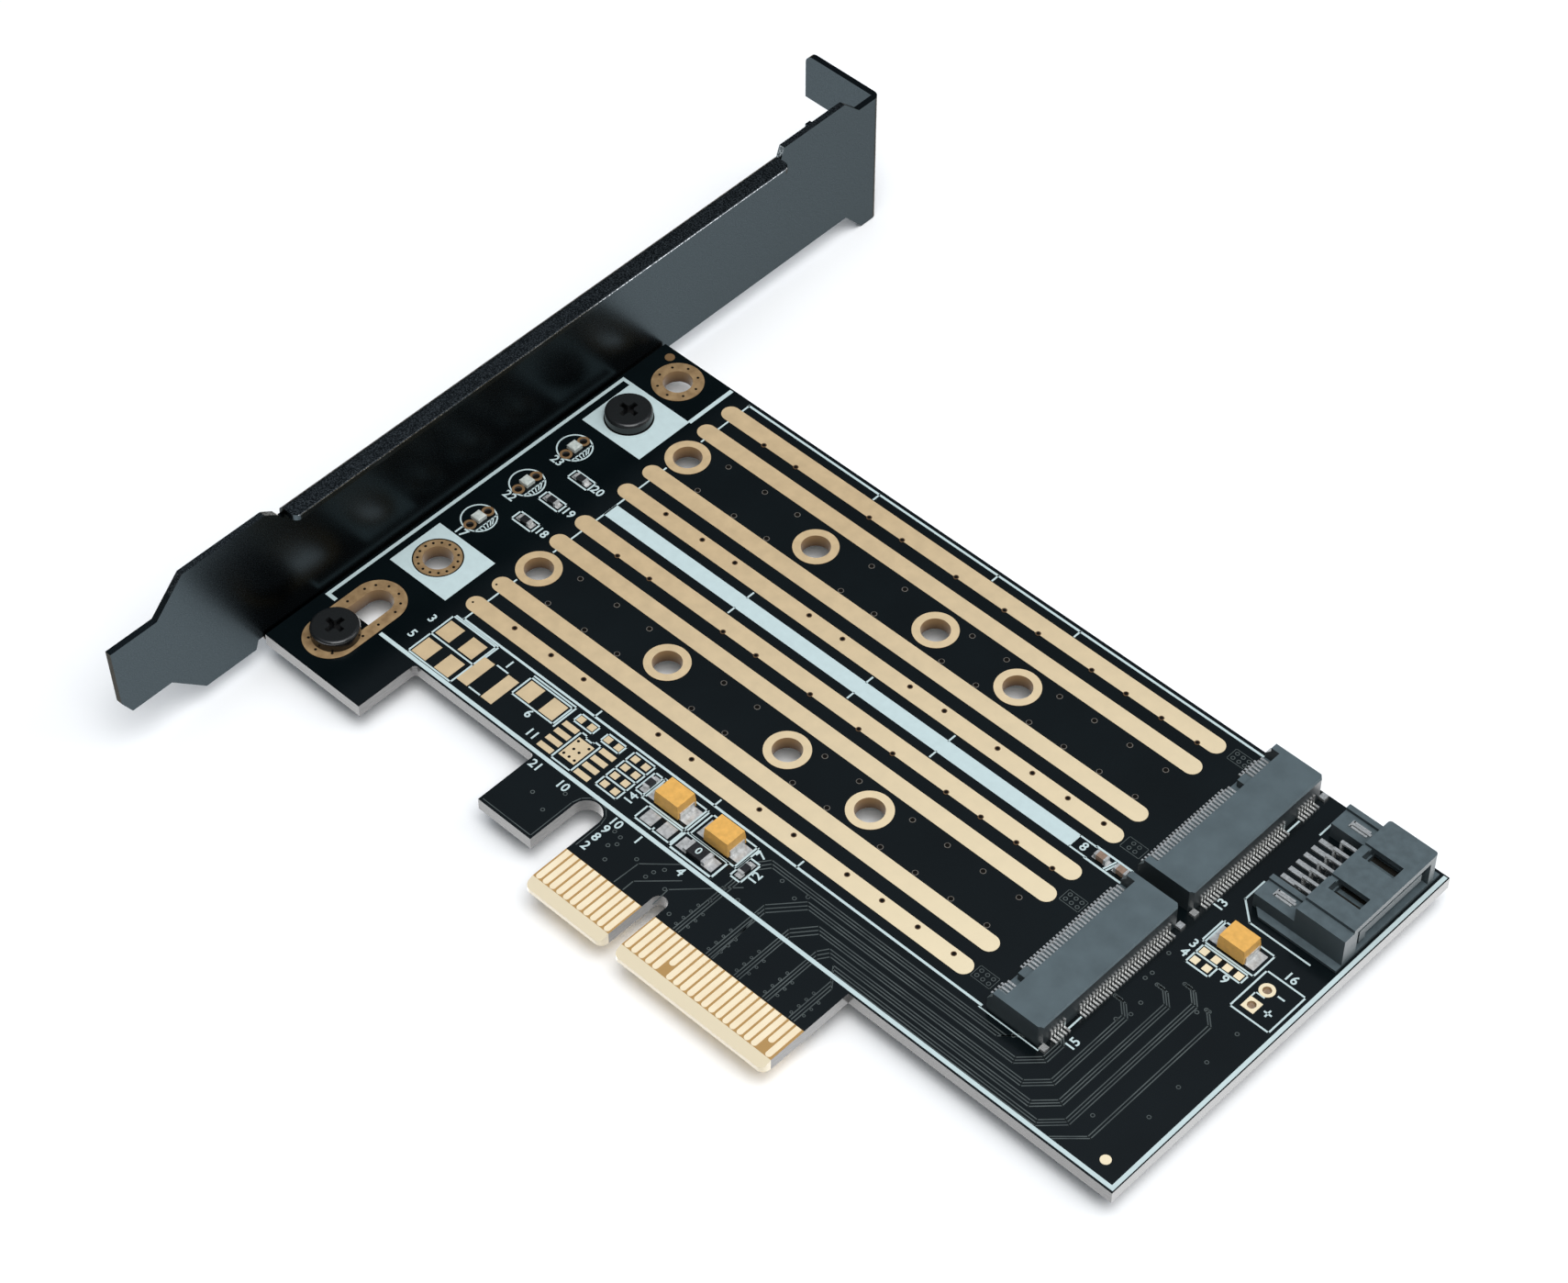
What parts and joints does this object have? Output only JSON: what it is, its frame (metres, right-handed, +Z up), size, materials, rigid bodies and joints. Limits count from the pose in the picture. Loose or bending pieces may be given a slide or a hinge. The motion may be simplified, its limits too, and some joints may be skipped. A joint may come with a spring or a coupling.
{
  "type": "ssd adapter card",
  "caption": "Expansion card that seats two flat solid-state drives in sockets, with an edge connector, a data header and a bent end bracket.",
  "frame": {"origin": "component face of the board, at the centre of the stand-off hole nearest the bracket in the lower drive bay", "axes": "+X along the board away from the bracket, +Y across it away from the edge connector, +Z up from the component face"},
  "size_m": [0.1264, 0.1194, 0.0215],
  "materials": {
    "solder_mask": "black printed-board mask, satin",
    "gold_plate": "thin gold plate on copper, matte",
    "tin": "tinned solder land",
    "print_ink": "pale printed ink",
    "black_sheet": "black satin coated sheet",
    "black_screw": "black coated steel",
    "socket_plastic": "moulded slate-grey plastic",
    "header_plastic": "moulded slate-grey plastic",
    "contact_metal": "plated spring contacts",
    "capacitor_case": "orange moulded case",
    "chip_black": "black glazed chip body",
    "chip_brown": "brown ceramic chip body",
    "lamp_clear": "milky clear resin"
  },
  "bodies": {
    "root": {"circuit_board": "solder_mask", "bay_hole_linings": "gold_plate", "bracket_hole_linings": "gold_plate", "bracket_slot_lining": "gold_plate", "heat_strips": "gold_plate", "edge_contacts_front": "gold_plate", "edge_contacts_back": "gold_plate", "bare_lands": "gold_plate", "tinned_lands": "tin", "printed_fields": "print_ink", "printed_centre_stripe": "print_ink", "printed_border": "print_ink", "mounting_bracket": "black_sheet", "bracket_screw_high": "black_screw", "bracket_screw_low": "black_screw", "drive_socket_lower_housing": "socket_plastic", "drive_socket_lower_back_contacts": "contact_metal", "drive_socket_lower_front_contacts": "contact_metal", "drive_socket_lower_solder_feet": "tin", "drive_socket_upper_housing": "socket_plastic", "drive_socket_upper_back_contacts": "contact_metal", "drive_socket_upper_front_contacts": "contact_metal", "drive_socket_upper_solder_feet": "tin", "data_header_housing": "header_plastic", "data_header_contacts": "contact_metal", "data_header_hold_downs": "contact_metal", "moulded_capacitor_1": "capacitor_case", "moulded_capacitor_2": "capacitor_case", "moulded_capacitor_3": "capacitor_case", "moulded_capacitor_terminals": "tin", "chip_resistor_1": "chip_black", "chip_resistor_2": "chip_black", "chip_resistor_3": "chip_black", "chip_resistor_4": "chip_black", "chip_resistor_5": "chip_black", "chip_link_resistor": "chip_black", "chip_capacitor_1": "chip_brown", "chip_capacitor_2": "chip_brown", "chip_end_caps": "tin", "status_lamp_1": "lamp_clear", "status_lamp_2": "lamp_clear", "status_lamp_3": "lamp_clear"}
  },
  "joints": []
}
